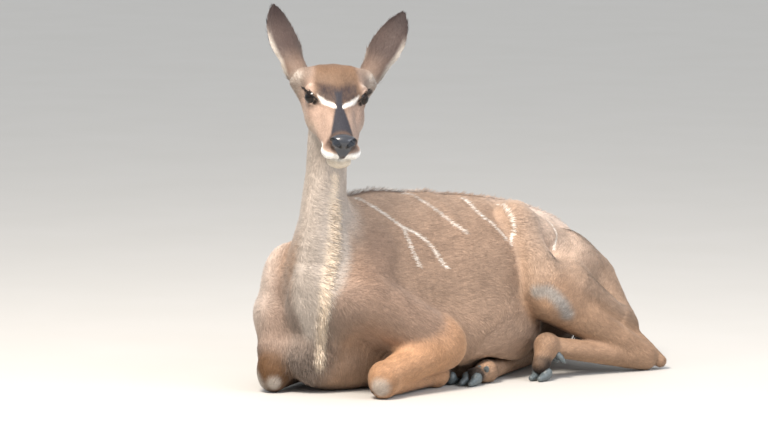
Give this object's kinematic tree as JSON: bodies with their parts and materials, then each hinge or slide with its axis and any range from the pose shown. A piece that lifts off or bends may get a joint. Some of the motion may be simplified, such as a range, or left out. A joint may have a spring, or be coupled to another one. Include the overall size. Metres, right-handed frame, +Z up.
{
  "type": "greater kudu",
  "caption": "Still, life-size model of a young greater kudu cow lying on her brisket with legs folded, neck upright, head turned to her left and large ears raised.",
  "frame": {"origin": "on the floor under the brisket, on the flat that the breast rests on", "axes": "+Z up, -Y the way the trunk points, +X the animal's left"},
  "size_m": [0.5289, 1.0831, 0.8767],
  "materials": {
    "eye": "wet, nearly black brown",
    "ear fur": "short fur, grey brown and darker at the tip, with a white lower edge",
    "face fur": "very short fur, tan with white bars and a dark blaze",
    "neck fur": "short fur, greyish beige with a cream throat ridge",
    "body fur": "short fur, warm fawn with thin white stripes",
    "leg fur": "short fur, orange tan",
    "tail fur": "short fur with a dark tuft",
    "hoof horn": "worn dark horn, satin"
  },
  "bodies": {
    "root": {"eye_left": "eye", "eye_right": "eye", "ear_right": "ear fur", "ear_left": "ear fur", "head": "face fur", "neck": "neck fur", "torso": "body fur", "claw_hind_left_outer": "hoof horn", "dewclaw_hind_left_outer": "hoof horn", "claw_hind_left_inner": "hoof horn", "dewclaw_hind_left_inner": "hoof horn", "pastern_hind_left": "leg fur", "cannon_hind_left": "leg fur", "gaskin_left": "leg fur", "claw_hind_right_outer": "hoof horn", "dewclaw_hind_right_outer": "hoof horn", "claw_hind_right_inner": "hoof horn", "dewclaw_hind_right_inner": "hoof horn", "pastern_hind_right": "leg fur", "cannon_hind_right": "leg fur", "gaskin_right": "leg fur", "claw_fore_left_outer": "hoof horn", "dewclaw_fore_left_outer": "hoof horn", "claw_fore_left_inner": "hoof horn", "dewclaw_fore_left_inner": "hoof horn", "pastern_fore_left": "leg fur", "cannon_fore_left": "leg fur", "forearm_left": "leg fur", "claw_fore_right_outer": "hoof horn", "dewclaw_fore_right_outer": "hoof horn", "claw_fore_right_inner": "hoof horn", "dewclaw_fore_right_inner": "hoof horn", "pastern_fore_right": "leg fur", "cannon_fore_right": "leg fur", "forearm_right": "leg fur", "tail": "tail fur"}
  },
  "joints": []
}
